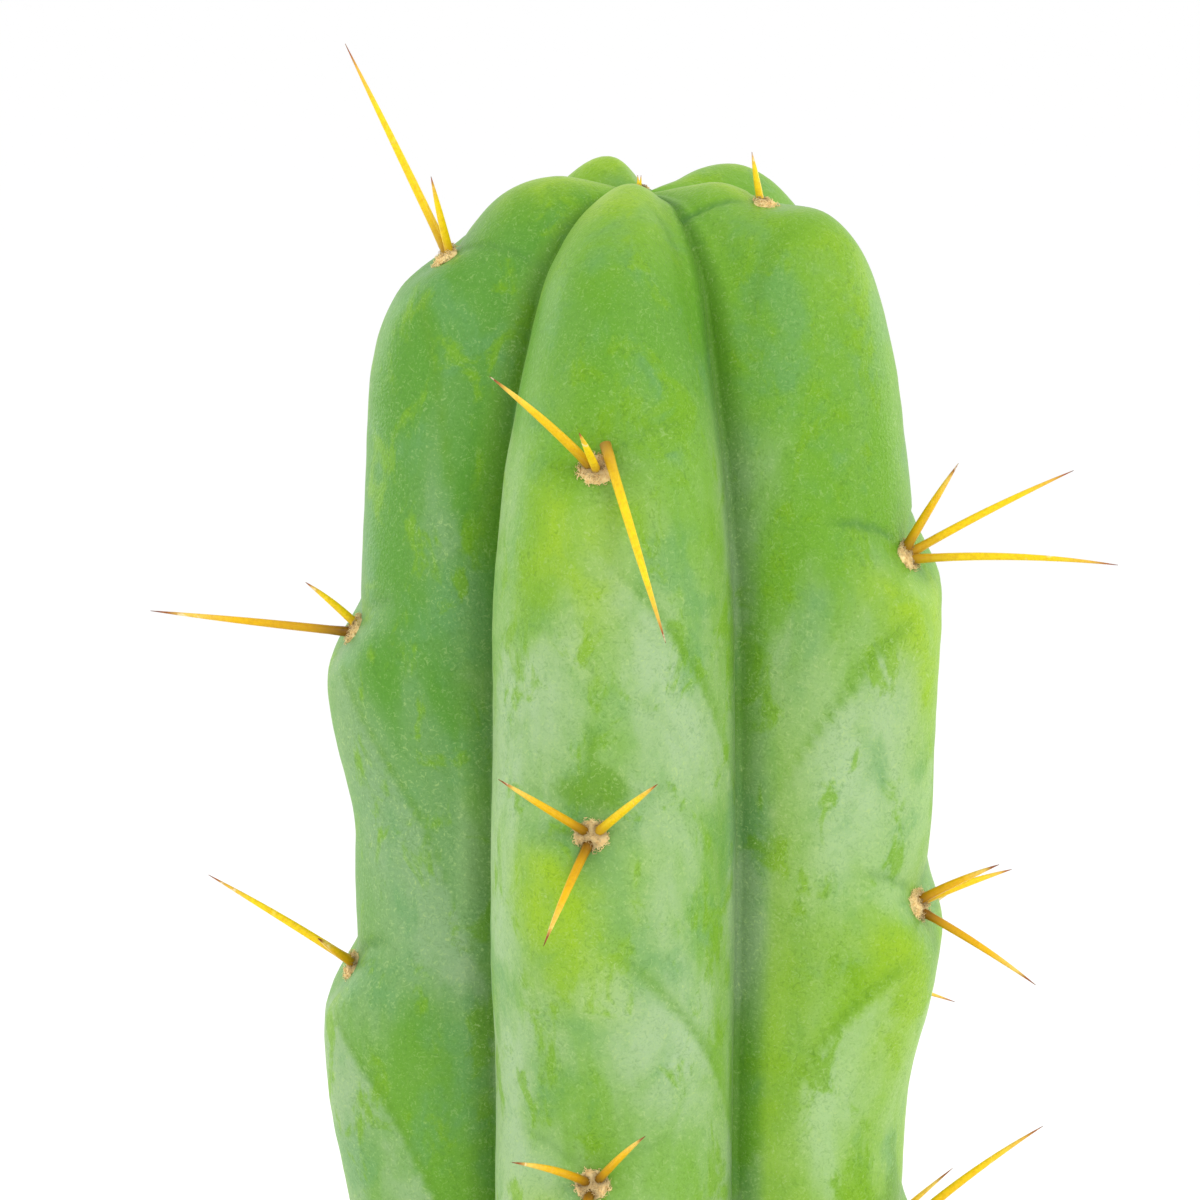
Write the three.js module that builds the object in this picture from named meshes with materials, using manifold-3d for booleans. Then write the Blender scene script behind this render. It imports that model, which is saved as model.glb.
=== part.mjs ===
// Potted tall cactus: a five-ribbed column with spined areoles, standing in soil in a plain clay pot.
// Millimetres, +Z up. The origin is the middle of the pot's foot, and the front looks along -Y.

import * as THREE from "three";
import { mergeVertices } from "three/addons/utils/BufferGeometryUtils.js";
import Module from "manifold-3d";

// ---- Driving dimensions ----

// Pot
const potHeight = 170;
const rimRadius = 98;
const footRadius = 64;
const wallThickness = 7;
const floorThickness = 9;
const bandHeight = 30;
const bandProud = 5;
const edgeRound = 2.5;
const drainRadius = 9;
const latheSides = 40;

// Soil
const soilBelowRim = 20;
const soilMound = 3;

// Stem: the crest radius is measured at the rib tops, between two areoles
const stemHeight = 430;
const stemRadius = 39;
const baseRadius = 34;
const crownDip = 1.7;
const crownDepth = 62;
const buriedDepth = 46;
const ribCount = 5;
const frontRibAzimuth = -10;
const lobeShare = 0.4;

// Areoles: each rib steps out by the chin height just below each one. The chin starts, peaks and ends at
// these shares of the spacing, and reaches its full height on areoles further down than the grown arc.
// The youngest areole on each rib sits nearer the crown than the even spacing, by the young lead.
const areoleSpacing = 45.5;
const youngLead = 5.5;
const chinHeight = 4;
const chinStart = -0.06;
const chinPeak = 0.17;
const chinEnd = 0.9;
const grownArc = 65;
const lowestAreole = 30;
const areoleTilt = 18;
const cushionRadius = 2.7;
const cushionDepth = 1.7;
const youngestSize = 0.45;
const spineRadius = 0.9;
const fullSpineLength = 12;

// Gap kept between neighbouring pieces
const clearance = 0.3;

// Ribs in order of azimuth, with the arc from the crown's centre to where the even spacing starts, as a
// share of the spacing.
const ribs = [
  { name: "front", firstAreole: 0.21 },
  { name: "right", firstAreole: 0.52 },
  { name: "rear_right", firstAreole: 0.96 },
  { name: "rear_left", firstAreole: 0.56 },
  { name: "left", firstAreole: 0.785 },
];

// Spines as [length, turn, lift]: the turn is in degrees from the rib's own azimuth, and the lift is in
// degrees above level. Areoles that are not listed take a habit from the list of habits.
const spinesOf = {
  front_1: [[1.6, 20, 60], [1.4, -140, 66]],
  front_2: [[21, -40, 38], [14, 1, 27], [25, 42, -50]],
  front_3: [[18, -37, 32], [16, 48, 34], [18, -13, -36]],
  front_4: [[16, -32, 24], [16, 42, 38], [18, -7, -36]],
  right_1: [[6.5, 180, 70], [4, 165, 60]],
  right_2: [[15, -21, 58], [23, 28, 28], [27, 6, 1]],
  right_3: [[12, 4, 31], [13, 48, 15], [18, 5, -31]],
  left_1: [[30, -32, 63], [11, 62, 72]],
  left_2: [[9, 18, 47], [26, -3, 6]],
  left_3: [[22, -16, 32], [10, 57, 35]],
  rear_right_1: [[9, 60, 35], [7, 10, 50]],
  rear_right_2: [[18, 42, 24], [14, 12, 48], [15, 20, -30]],
  rear_left_1: [[2.2, 0, 20], [1.8, -60, 25]],
};
const lengthSpread = 0.15;
const turnSpread = 7;
const liftSpread = 5;
const habits = [
  [[24, -36, 28], [19, 40, 33], [20, -8, -36]],
  [[18, -40, 31], [17, 44, 30], [25, 5, -28], [12, 3, 22]],
  [[21, -30, 40], [26, 24, 12], [16, 10, -38]],
  [[15, -42, 22], [22, 38, 36], [27, -4, 4], [18, 6, -40]],
];

// ---- Derived places ----

const soilLevel = potHeight - soilBelowRim;
const crownTop = soilLevel + stemHeight;
const ribAngle = 360 / ribCount;

// Facets
const segmentsPerRib = 8;
const rowsPerAreole = 5;
const cushionSides = 6;
const cushionRings = 3;
const spineSides = 4;
const rowStep = areoleSpacing / rowsPerAreole;

const radians = THREE.MathUtils.degToRad;
const smoothstep = THREE.MathUtils.smoothstep;

// ---- Solids ----

const wasm = await Module();
wasm.setup();

function solidFrom(geometry) {
  const bare = new THREE.BufferGeometry();
  bare.setAttribute("position", geometry.getAttribute("position"));
  if (geometry.index) {
    bare.setIndex(geometry.index);
  }
  const merged = mergeVertices(bare, 1e-4);
  const vertProperties = new Float32Array(merged.getAttribute("position").array);
  const triVerts = new Uint32Array(merged.index.array);
  return new wasm.Manifold(new wasm.Mesh({ numProp: 3, vertProperties, triVerts }));
}

function geometryFrom(solid) {
  const mesh = solid.getMesh();
  const geometry = new THREE.BufferGeometry();
  geometry.setAttribute("position", new THREE.BufferAttribute(mesh.vertProperties, 3));
  geometry.setIndex(new THREE.BufferAttribute(mesh.triVerts, 1));
  return geometry;
}

function turned(profile) {
  const points = profile.map(([radius, height]) => new THREE.Vector2(radius, height));
  return new THREE.LatheGeometry(points, latheSides).rotateX(Math.PI / 2);
}

// ---- Pot ----

const bandBottom = potHeight - bandHeight;
const wallTopRadius = rimRadius - bandProud;
const rimInnerRadius = wallTopRadius - wallThickness;

// Radius of the pot's inside at a height
function insideRadius(height) {
  const share = height / potHeight;
  return THREE.MathUtils.lerp(footRadius, wallTopRadius, share) - wallThickness;
}

function makePot() {
  const outsideAtBand = insideRadius(bandBottom) + wallThickness;
  const half = edgeRound * (1 - Math.SQRT1_2);
  const lip = [
    [rimRadius, potHeight - edgeRound],
    [rimRadius - half, potHeight - half],
    [rimRadius - edgeRound, potHeight],
    [rimInnerRadius + edgeRound, potHeight],
    [rimInnerRadius + half, potHeight - half],
    [rimInnerRadius, potHeight - edgeRound],
  ];
  const profile = [
    [drainRadius, 0],
    [footRadius - edgeRound, 0],
    [footRadius, edgeRound],
    [outsideAtBand, bandBottom],
    [rimRadius - edgeRound, bandBottom + half],
    [rimRadius - half, bandBottom + edgeRound],
    ...lip,
    [insideRadius(floorThickness + edgeRound), floorThickness + edgeRound],
    [insideRadius(floorThickness) - edgeRound, floorThickness],
    [drainRadius, floorThickness],
    [drainRadius, 0],
  ];
  return turned(profile);
}

// ---- Stem ----

// The line of a rib's crest from the growing point out over the crown, down to the soil and in to the
// buried foot, as radius and height.
function crestLine() {
  const shaftHeight = crownTop - soilLevel - crownDepth;
  const at = (share) => crownTop - crownDepth - share * shaftHeight;
  const line = [
    [0, crownTop - crownDip],
    [stemRadius * 0.15, crownTop - crownDip * 0.3],
    [stemRadius * 0.3, crownTop],
    [stemRadius * 0.48, crownTop - crownDepth * 0.035],
    [stemRadius * 0.68, crownTop - crownDepth * 0.135],
    [stemRadius * 0.8, crownTop - crownDepth * 0.285],
    [stemRadius * 0.89, crownTop - crownDepth * 0.46],
    [stemRadius * 0.945, crownTop - crownDepth * 0.7],
    [stemRadius * 0.985, at(0)],
    [stemRadius, at(0.08)],
    [stemRadius * 0.985, at(0.2)],
    [stemRadius * 1.03, at(0.4)],
    [stemRadius * 0.98, at(0.58)],
    [stemRadius * 1.02, at(0.78)],
    [baseRadius, soilLevel],
    [baseRadius * 0.86, soilLevel - buriedDepth * 0.5],
    [baseRadius * 0.5, soilLevel - buriedDepth * 0.9],
    [0, soilLevel - buriedDepth],
  ];
  const curve = new THREE.SplineCurve(line.map(([radius, height]) => new THREE.Vector2(radius, height)));
  curve.arcLengthDivisions = 1000;
  return curve;
}

const crest = crestLine();
const crestLength = crest.getLength();

// Arc along the crest at which it comes down to a height, found by halving
function arcAtHeight(height) {
  let low = stemRadius;
  let high = crestLength;
  while (high - low > 1e-6) {
    const middle = (low + high) / 2;
    if (crest.getPointAt(middle / crestLength).y > height) {
      low = middle;
    } else {
      high = middle;
    }
  }
  return low;
}

const soilArc = arcAtHeight(soilLevel);

function firstArc(rib) {
  return ribs[rib].firstAreole * areoleSpacing;
}

// Arc from the crown's centre down to an areole of a rib, counted from 0
function areoleArc(rib, number) {
  const lead = number > 0 ? 0 : youngLead;
  return firstArc(rib) + number * areoleSpacing - lead;
}

// How far a rib's crest stands out at an arc: nothing just above an areole, then a quick step out to the
// chin below it, then a slow return. It is shallow below the youngest areoles, and ends at the soil.
function chinAt(rib, arc) {
  let number = -1;
  while (arc >= areoleArc(rib, number + 1) + chinStart * areoleSpacing) {
    number += 1;
  }
  const start = areoleArc(rib, number);
  const phase = (arc - start) / (areoleArc(rib, number + 1) - start);
  const out = smoothstep(phase, chinStart, chinPeak) * (1 - smoothstep(phase, chinPeak, chinEnd));
  const grown = smoothstep(start, 0, grownArc);
  const buried = smoothstep(arc, soilArc - lowestAreole * 0.4, soilArc);
  return chinHeight * out * grown * (1 - buried);
}

// Radius of the rounded lobe at an angle from the rib's middle, for a crest radius
function lobeRadiusAt(angle, crestRadius, grow) {
  const centre = crestRadius * (1 - lobeShare);
  const lobe = crestRadius * lobeShare + grow;
  return centre * Math.cos(angle) + Math.sqrt(lobe ** 2 - (centre * Math.sin(angle)) ** 2);
}

// Falls from 1 on a rib's crest to 0 in the furrows beside it
function ridge(across) {
  return Math.cos(across * Math.PI * 0.5) ** 2;
}

// A point of the skin, on a rib, at a share of its half width (-1 to 1) and at an arc down the crest.
// Grow moves the skin outwards.
function skinPoint(rib, across, arc, grow = 0) {
  const place = Math.min(Math.max(arc / crestLength, 0), 1);
  const point = crest.getPointAt(place);
  const along = crest.getTangentAt(place);
  const angle = radians(across * ribAngle * 0.5);
  const swell = chinAt(rib, arc) * ridge(across);
  const out = swell + lobeRadiusAt(angle, point.x, grow) - point.x;
  const radius = Math.max(point.x - along.y * out, 0);
  const height = point.y + along.x * out;
  const azimuth = radians(frontRibAzimuth + rib * ribAngle) + angle;
  return new THREE.Vector3(Math.sin(azimuth) * radius, -Math.cos(azimuth) * radius, height);
}

// Rows run evenly down the front rib, and each other rib's rows shift to meet its own areoles.
function rowArc(row, rib, across) {
  const even = firstArc(0) + row * rowStep;
  const offset = (firstArc(rib) - firstArc(0)) / rowStep;
  const shift = (offset - Math.round(offset)) * rowStep;
  const fade = smoothstep(even, 0, 2 * rowStep) * (1 - smoothstep(even, soilArc - lowestAreole, soilArc));
  return even + shift * fade * ridge(across);
}

function makeStem(grow) {
  const rows = Math.round((crestLength - firstArc(0)) / rowStep) - 1;
  const columns = ribCount * segmentsPerRib;
  const positions = [];
  for (let row = 0; row <= rows; row += 1) {
    for (let column = 0; column < columns; column += 1) {
      const rib = Math.floor(column / segmentsPerRib);
      const across = ((column % segmentsPerRib) / segmentsPerRib) * 2 - 1;
      positions.push(...skinPoint(rib, across, rowArc(row, rib, across), grow).toArray());
    }
  }
  const crown = positions.length / 3;
  positions.push(0, 0, crownTop - crownDip + grow);
  positions.push(0, 0, soilLevel - buriedDepth - grow);
  const foot = crown + 1;
  const faces = [];
  for (let column = 0; column < columns; column += 1) {
    const next = (column + 1) % columns;
    faces.push(crown, column, next);
    for (let row = 0; row < rows; row += 1) {
      const upper = row * columns;
      const lower = upper + columns;
      faces.push(upper + column, lower + column, lower + next);
      faces.push(upper + column, lower + next, upper + next);
    }
    faces.push(foot, rows * columns + next, rows * columns + column);
  }
  const geometry = new THREE.BufferGeometry();
  geometry.setAttribute("position", new THREE.Float32BufferAttribute(positions, 3));
  geometry.setIndex(faces);
  return solidFrom(geometry);
}

// ---- Soil ----

function makeSoil() {
  const bottom = floorThickness + clearance;
  const top = soilLevel;
  const profile = [
    [0, bottom],
    [insideRadius(bottom) - edgeRound - clearance, bottom],
    [insideRadius(bottom + edgeRound) - clearance, bottom + edgeRound],
    [insideRadius(top) - clearance, top],
    [baseRadius + chinHeight, top + soilMound],
    [0, top + soilMound],
  ];
  return solidFrom(turned(profile)).subtract(makeStem(clearance));
}

// ---- Areoles and spines ----

function areoleArcs(rib) {
  const arcs = [];
  for (let number = 0; areoleArc(rib, number) <= soilArc - lowestAreole; number += 1) {
    arcs.push(areoleArc(rib, number));
  }
  return arcs;
}

// Unit direction at an azimuth, lifted from the level
function direction(azimuth, lift) {
  const level = Math.cos(lift);
  return new THREE.Vector3(Math.sin(azimuth) * level, -Math.cos(azimuth) * level, Math.sin(lift));
}

// Where an areole sits, and which way it faces: tilted up from the rib's own outward direction
function areoleSeat(rib, arc) {
  const along = crest.getTangentAt(arc / crestLength);
  const lift = Math.atan2(along.x, -along.y) + radians(areoleTilt) * smoothstep(arc, 0, grownArc);
  const azimuth = radians(frontRibAzimuth + rib * ribAngle);
  const axis = direction(azimuth, lift);
  const size = youngestSize + (1 - youngestSize) * smoothstep(arc, 0, grownArc * 0.5);
  return { point: skinPoint(rib, 0, arc), axis, azimuth, size };
}

function cushionAt(seat, grow) {
  const radius = cushionRadius * seat.size + grow;
  const depth = cushionDepth * seat.size + grow;
  const up = new THREE.Vector3(0, 1, 0);
  const geometry = new THREE.SphereGeometry(1, cushionSides, cushionRings).scale(radius, depth, radius);
  geometry.applyQuaternion(new THREE.Quaternion().setFromUnitVectors(up, seat.axis));
  geometry.translate(...seat.point.toArray());
  return solidFrom(geometry);
}

function spineAt(seat, [length, turn, lift]) {
  const way = direction(seat.azimuth + radians(turn), radians(lift));
  const radius = spineRadius * Math.sqrt(Math.min(1, length / fullSpineLength));
  const geometry = new THREE.ConeGeometry(radius, length, spineSides).translate(0, length / 2, 0);
  geometry.applyQuaternion(new THREE.Quaternion().setFromUnitVectors(new THREE.Vector3(0, 1, 0), way));
  const root = seat.point.clone().addScaledVector(seat.axis, cushionDepth * seat.size * 0.5);
  geometry.translate(...root.toArray());
  return solidFrom(geometry);
}

// A spread of small differences from -1 to 1 that repeats for the same areole and spine
function unevenness(rib, number, spine) {
  const wave = Math.sin(rib * 12.9 + number * 78.2 + spine * 37.7) * 43758.5;
  return 2 * (wave - Math.floor(wave)) - 1;
}

function spinesFor(rib, number) {
  const listed = spinesOf[`${ribs[rib].name}_${number}`];
  if (listed) {
    return listed;
  }
  return habits[(rib * 3 + number) % habits.length].map(([length, turn, lift], spine) => {
    const change = unevenness(rib, number, spine);
    return [length * (1 + lengthSpread * change), turn - turnSpread * change, lift + liftSpread * change];
  });
}

function makeCluster(rib, number, seat) {
  return spinesFor(rib, number).reduce(
    (cluster, spine) => cluster.add(spineAt(seat, spine)),
    cushionAt(seat, 0),
  );
}

// ---- Assembly ----

const materials = {
  clay: new THREE.MeshStandardMaterial({ color: 0xb5663f, roughness: 0.9, metalness: 0 }),
  soil: new THREE.MeshStandardMaterial({ color: 0x4a3a2c, roughness: 1, metalness: 0 }),
  skin: new THREE.MeshStandardMaterial({ color: 0x7faf63, roughness: 0.6, metalness: 0 }),
  spine: new THREE.MeshStandardMaterial({ color: 0xe0b13a, roughness: 0.45, metalness: 0 }),
};

const cactus = new THREE.Group();

function addPiece(name, geometry, material) {
  const mesh = new THREE.Mesh(geometry, material);
  mesh.name = name;
  cactus.add(mesh);
}

addPiece("pot", makePot(), materials.clay);
addPiece("soil", geometryFrom(makeSoil()), materials.soil);

let stem = makeStem(0);
ribs.forEach(({ name }, rib) => {
  areoleArcs(rib).forEach((arc, index) => {
    const number = index + 1;
    const seat = areoleSeat(rib, arc);
    stem = stem.subtract(cushionAt(seat, clearance));
    addPiece(`spines_${name}_${number}`, geometryFrom(makeCluster(rib, number, seat)), materials.spine);
  });
});
addPiece("stem", geometryFrom(stem), materials.skin);

export default cactus;
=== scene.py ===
"""Potted tall cactus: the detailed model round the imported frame.

Shapes are worked out in millimetres and written to the meshes in metres.
"""
import math

import bpy
import numpy as np
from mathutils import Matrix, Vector


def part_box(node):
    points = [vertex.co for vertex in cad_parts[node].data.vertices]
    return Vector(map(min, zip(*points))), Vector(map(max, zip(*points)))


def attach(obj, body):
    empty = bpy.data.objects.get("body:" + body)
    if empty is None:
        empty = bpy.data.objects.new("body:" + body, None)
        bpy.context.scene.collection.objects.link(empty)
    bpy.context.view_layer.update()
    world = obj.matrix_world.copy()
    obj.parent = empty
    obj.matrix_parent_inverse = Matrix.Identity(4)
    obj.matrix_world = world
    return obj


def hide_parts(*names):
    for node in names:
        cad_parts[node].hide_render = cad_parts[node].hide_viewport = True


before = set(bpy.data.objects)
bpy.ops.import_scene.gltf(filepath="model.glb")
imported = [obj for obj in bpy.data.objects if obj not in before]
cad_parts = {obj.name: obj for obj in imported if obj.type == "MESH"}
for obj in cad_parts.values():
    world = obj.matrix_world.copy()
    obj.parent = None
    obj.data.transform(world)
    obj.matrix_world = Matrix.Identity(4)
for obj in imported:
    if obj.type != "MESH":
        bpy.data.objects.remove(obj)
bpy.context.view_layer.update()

MM = 0.001

# ---- Sizes, in millimetres ----

pot_high = np.array(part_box("pot")[1]) / MM
POT_HEIGHT = pot_high[2]
RIM_RADIUS = pot_high[0]
FOOT_RADIUS = 64
WALL = 7
FLOOR = 9
BAND_HEIGHT = 30
BAND_PROUD = 5
DRAIN_RADIUS = 9
EDGE_ROUND = 2.5
RIM_ROUND = 3.5
CORNER_ROUND = 4
NECK_ROUND = 1.4
HOLE_ROUND = 1.2

SOIL_LEVEL = POT_HEIGHT - 20
SOIL_MOUND = 3
CLEARANCE = 0.3
SOIL_GAP = CLEARANCE + 0.5
GRAINS_TRIED = 2600

CROWN_TOP = 580
STEM_RADIUS = 39
BASE_RADIUS = 34
CROWN_DIP = 1.7
CROWN_DEPTH = 62
BURIED = 46
CORK_HEIGHT = 24
RIB_ANGLE = 72
FRONT_AZIMUTH = -10
FRONT_SQUEEZE = 4
LOBE_SHARE = 0.4
RIB_COLUMNS = 44

SPACING = 45.5
YOUNG_LEAD = 5.5
CHIN = 4
CHIN_START = -0.05
CHIN_PEAK = 0.15
BROW_RISE = 4.8
SPADE_HALF = 4.6
LOWEST_AREOLE = 30
AREOLE_TILT = 18
AGEING_ARC = 190
FELT_RADIUS = 2.5
FELT_SQUASH = 0.86
WOOL_STRANDS = 220
SPINE_RADIUS = 0.58
SPINE_LOOK = 0
FELT_LOOK = 1

RIBS = ["front", "right", "rear_right", "rear_left", "left"]
FRONT, RIGHT, REAR_RIGHT, REAR_LEFT, LEFT = range(len(RIBS))
FIRST_AREOLE = np.array([0.21, 0.52, 0.96, 0.56, 0.785]) * SPACING
# Painted light and shade on whole ribs: how much lighter or darker each rib's green is made, lightest on the
# right rib and darkest on the left
RIB_PAINTED_LIGHT = np.array([0.1, 0.4, 0.0, 0.2, -0.5])
CHIN_GAIN = np.array([0.8, 0.85, 1.0, 1.05, 1.1])
# How far below an areole each rib's seams start, and how steeply they run down to the furrows
SEAM_START = np.array([10, 4, 6, 7, 0])
SEAM_SLOPE = np.array([1.25, 1.1, 1.3, 1.2, 1.6])
# Width over which the panel under a seam sets in, on the left and the right of each rib
SEAM_WIDTH = np.array([[7, 1.6], [1.6, 3], [2, 4], [5, 2], [3, 1.6]])
# Where each rib's chins end, as shares of the spacing, below its first, second, third and later areoles
CHIN_END = np.array([
    [0.9, 0.9, 0.9, 0.9],
    [0.8, 0.75, 0.75, 0.9],
    [0.9, 0.85, 0.9, 0.95],
    [0.8, 0.9, 0.85, 0.9],
    [0.8, 0.66, 0.95, 0.85],
])
# Slow swells and waists of single ribs, as [rib, arc, outwards, half length]
SWELLS = [
    [RIGHT, 18, -1.8, 5],
    [RIGHT, 32, 1.4, 16],
    [RIGHT, 100, 1.3, 14],
    [RIGHT, 152, -1.4, 26],
    [REAR_RIGHT, 17, 1.4, 8],
    [REAR_RIGHT, 40, 1.5, 20],
    [REAR_LEFT, 11, 2.4, 7],
    [REAR_LEFT, 23, -2.0, 7],
    [LEFT, 29, -1.9, 9],
    [LEFT, 100, -1.0, 45],
]

# Spines as [length, turn, lift], as the frame's solids have them
SPINES = {
    "front_1": [[1.6, 20, 60], [1.4, -140, 66]],
    "front_2": [[21, -40, 38], [14, 1, 27], [25, 42, -50]],
    "front_3": [[18, -37, 32], [16, 48, 34], [18, -13, -36]],
    "front_4": [[16, -32, 24], [16, 42, 38], [18, -7, -36]],
    "right_1": [[6.5, 180, 70], [4, 165, 60]],
    "right_2": [[15, -21, 58], [23, 28, 28], [27, 6, 1]],
    "right_3": [[12, 4, 31], [13, 48, 15], [18, 5, -31]],
    "left_1": [[30, -32, 63], [11, 62, 72]],
    "left_2": [[9, 18, 47], [26, -3, 6]],
    "left_3": [[22, -16, 32], [10, 57, 35]],
    "rear_right_1": [[9, 60, 35], [7, 10, 50]],
    "rear_right_2": [[18, 42, 24], [14, 12, 48], [15, 20, -30]],
    "rear_left_1": [[2.2, 0, 20], [1.8, -60, 25]],
}
# Spines whose root isn't on the side that the spine points to: where it lies, as [aside, up, out]
ROOTS = {"front_2": {2: [1.5, 1.9, 1.5]}}
# Spines of the areoles that SPINES doesn't list
HABITS = [
    [[24, -36, 28], [19, 40, 33], [20, -8, -36]],
    [[18, -40, 31], [17, 44, 30], [25, 5, -28], [12, 3, 22]],
    [[21, -30, 40], [26, 24, 12], [16, 10, -38]],
    [[15, -42, 22], [22, 38, 36], [27, -4, 4], [18, 6, -40]],
]

# The camera's angle of view, its lift and distance, and the point that it looks at
VIEW_ANGLE = 15
VIEW_LIFT = 11
VIEW_DISTANCE = 600
VIEW_TARGET = (-5.8, 0, CROWN_TOP - 55.4)
FLOOR_REACH = 20000

rng = np.random.default_rng(416)


# ---- Small helpers ----

def smoothstep(value, low, high):
    share = np.clip((value - low) / (high - low), 0, 1)
    return share * share * (3 - 2 * share)


def bell(value, width):
    return np.exp(-((value / width) ** 2))


def waves(points, wavelength, seed):
    """Smooth noise of about -1 to 1: a sum of plane waves in seeded directions."""
    count = 14
    own = np.random.default_rng(seed)
    way = own.normal(size=(count, 3))
    way /= np.linalg.norm(way, axis=1)[:, None]
    pitch = wavelength * own.uniform(0.7, 1.5, count)
    start = own.uniform(0, 2 * math.pi, count)
    total = np.zeros(points.shape[:-1])
    for k in range(count):
        total += np.sin(points @ (way[k] * 2 * math.pi / pitch[k]) + start[k])
    return total / math.sqrt(count)


def scatter(seed):
    """A share from 0 to 1 that looks random and is always the same for the same seed."""
    wave = np.sin(seed) * 43758.5
    return wave - np.floor(wave)


def direction(azimuth, lift):
    """A unit direction, at an azimuth counted from the front towards the right."""
    level = math.cos(lift)
    return np.array([math.sin(azimuth) * level, -math.cos(azimuth) * level, math.sin(lift)])


def round_axis(azimuth, reach, height):
    """Points at an azimuth, a distance from the axis and a height."""
    x = np.sin(azimuth) * reach
    y = -np.cos(azimuth) * reach
    return np.stack(np.broadcast_arrays(x, y, height), axis=-1)


def across_from(axis):
    """Two unit directions square to an axis: sideways, and up along the face."""
    side = np.cross([0, 0, 1.0], axis)
    if np.linalg.norm(side) < 1e-6:
        side = np.array([1.0, 0, 0])
    side /= np.linalg.norm(side)
    return side, np.cross(axis, side)


def mesh_object(name, points, faces, materials, face_material=None, attributes=None, smooth=True):
    mesh = bpy.data.meshes.new(name)
    mesh.from_pydata((np.asarray(points) * MM).tolist(), [], faces)
    for key, values in (attributes or {}).items():
        kind = "FLOAT_COLOR" if np.ndim(values) == 2 else "FLOAT"
        layer = mesh.attributes.new(key, kind, "POINT")
        field = "color" if kind == "FLOAT_COLOR" else "value"
        layer.data.foreach_set(field, np.asarray(values, dtype=np.float32).ravel())
    mesh.polygons.foreach_set("use_smooth", [smooth] * len(mesh.polygons))
    for material in materials:
        mesh.materials.append(material)
    if face_material is not None:
        mesh.polygons.foreach_set("material_index", face_material)
    mesh.validate()
    mesh.update()
    piece = bpy.data.objects.new(name, mesh)
    bpy.context.scene.collection.objects.link(piece)
    return piece


def keep(piece, slot, *nodes):
    """Puts a piece under the root body and hides the CAD nodes that it stands for; the slot is not used."""
    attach(piece, "root")
    if nodes:
        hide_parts(*nodes)


class Parts:
    """Collects small closed shapes into one mesh."""

    def __init__(self):
        self.points = []
        self.faces = []
        self.kinds = []
        self.values = {}
        self.count = 0

    def add(self, points, faces, kind, **values):
        self.points.append(points)
        self.faces.extend([tuple(corner + self.count for corner in face) for face in faces])
        self.kinds.extend([kind] * len(faces))
        for key, value in values.items():
            filled = np.broadcast_to(value, (len(points),))
            self.values.setdefault(key, []).append(filled)
        self.count += len(points)

    def build(self, name, materials, smooth=True):
        attributes = {key: np.concatenate(value) for key, value in self.values.items()}
        points = np.concatenate(self.points)
        return mesh_object(name, points, self.faces, materials, self.kinds, attributes, smooth)


def ring_faces(rings, sides):
    """Faces over rings of points, with the first and last ring closed on the two points that follow."""
    faces = []
    for ring in range(rings - 1):
        for k in range(sides):
            a = ring * sides + k
            b = ring * sides + (k + 1) % sides
            faces.append((a, b, b + sides, a + sides))
    first = rings * sides
    last = (rings - 1) * sides
    for k in range(sides):
        faces.append((first, (k + 1) % sides, k))
        faces.append((first + 1, last + k, last + (k + 1) % sides))
    return faces


def tube(line, radii, sides):
    """A closed tube along a line of points, and each point's share of the length."""
    line = np.asarray(line, dtype=float)
    along = np.gradient(line, axis=0)
    along /= np.linalg.norm(along, axis=1)[:, None]
    side, up = across_from(along[0])
    angles = np.arange(sides) * 2 * math.pi / sides
    rings = []
    for point, way, radius in zip(line, along, radii):
        side = side - way * (side @ way)
        side /= np.linalg.norm(side)
        up = np.cross(way, side)
        ring = np.cos(angles)[:, None] * side + np.sin(angles)[:, None] * up
        rings.append(point + ring * radius)
    points = np.concatenate(rings + [line[:1], line[-1:]])
    share = np.concatenate([np.repeat(np.linspace(0, 1, len(line)), sides), [0, 1]])
    return points, ring_faces(len(line), sides), share


# ---- Stem shape ----

def crest_line():
    """The crest's radius and height, its direction and its arc length, from the crown to the foot."""
    shaft = CROWN_TOP - CROWN_DEPTH - SOIL_LEVEL
    # Shares of the stem's radius, and of the crown's depth or of the shaft's height
    crown_shares = [(0.48, 0.035), (0.68, 0.135), (0.8, 0.285), (0.89, 0.46), (0.945, 0.7), (0.985, 1)]
    shaft_shares = [(1, 0.08), (0.985, 0.2), (1.03, 0.4), (0.98, 0.58), (1.02, 0.78)]
    line = [
        [0, CROWN_TOP - CROWN_DIP],
        [STEM_RADIUS * 0.15, CROWN_TOP - CROWN_DIP * 0.3],
        [STEM_RADIUS * 0.3, CROWN_TOP],
    ]
    line += [[STEM_RADIUS * out, CROWN_TOP - CROWN_DEPTH * low] for out, low in crown_shares]
    line += [[STEM_RADIUS * out, CROWN_TOP - CROWN_DEPTH - low * shaft] for out, low in shaft_shares]
    line = np.array(line + [
        [BASE_RADIUS, SOIL_LEVEL],
        [BASE_RADIUS * 0.86, SOIL_LEVEL - BURIED * 0.5],
        [BASE_RADIUS * 0.5, SOIL_LEVEL - BURIED * 0.9],
        [0, SOIL_LEVEL - BURIED],
    ])
    steps = np.linspace(0, 1, 60, endpoint=False)[:, None]
    pieces = []
    for i in range(len(line) - 1):
        before, start, end, after = (line[min(max(i + k, 0), len(line) - 1)] for k in (-1, 0, 1, 2))
        leave = (end - before) / 2
        arrive = (after - start) / 2
        cubic = 2 * start - 2 * end + leave + arrive
        square = -3 * start + 3 * end - 2 * leave - arrive
        pieces.append(cubic * steps ** 3 + square * steps ** 2 + leave * steps + start)
    curve = np.concatenate(pieces + [line[-1:]])
    arc = np.concatenate([[0], np.cumsum(np.linalg.norm(np.diff(curve, axis=0), axis=1))])
    along = np.gradient(curve, arc, axis=0)
    along /= np.linalg.norm(along, axis=1)[:, None]
    return curve, along, arc


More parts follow.
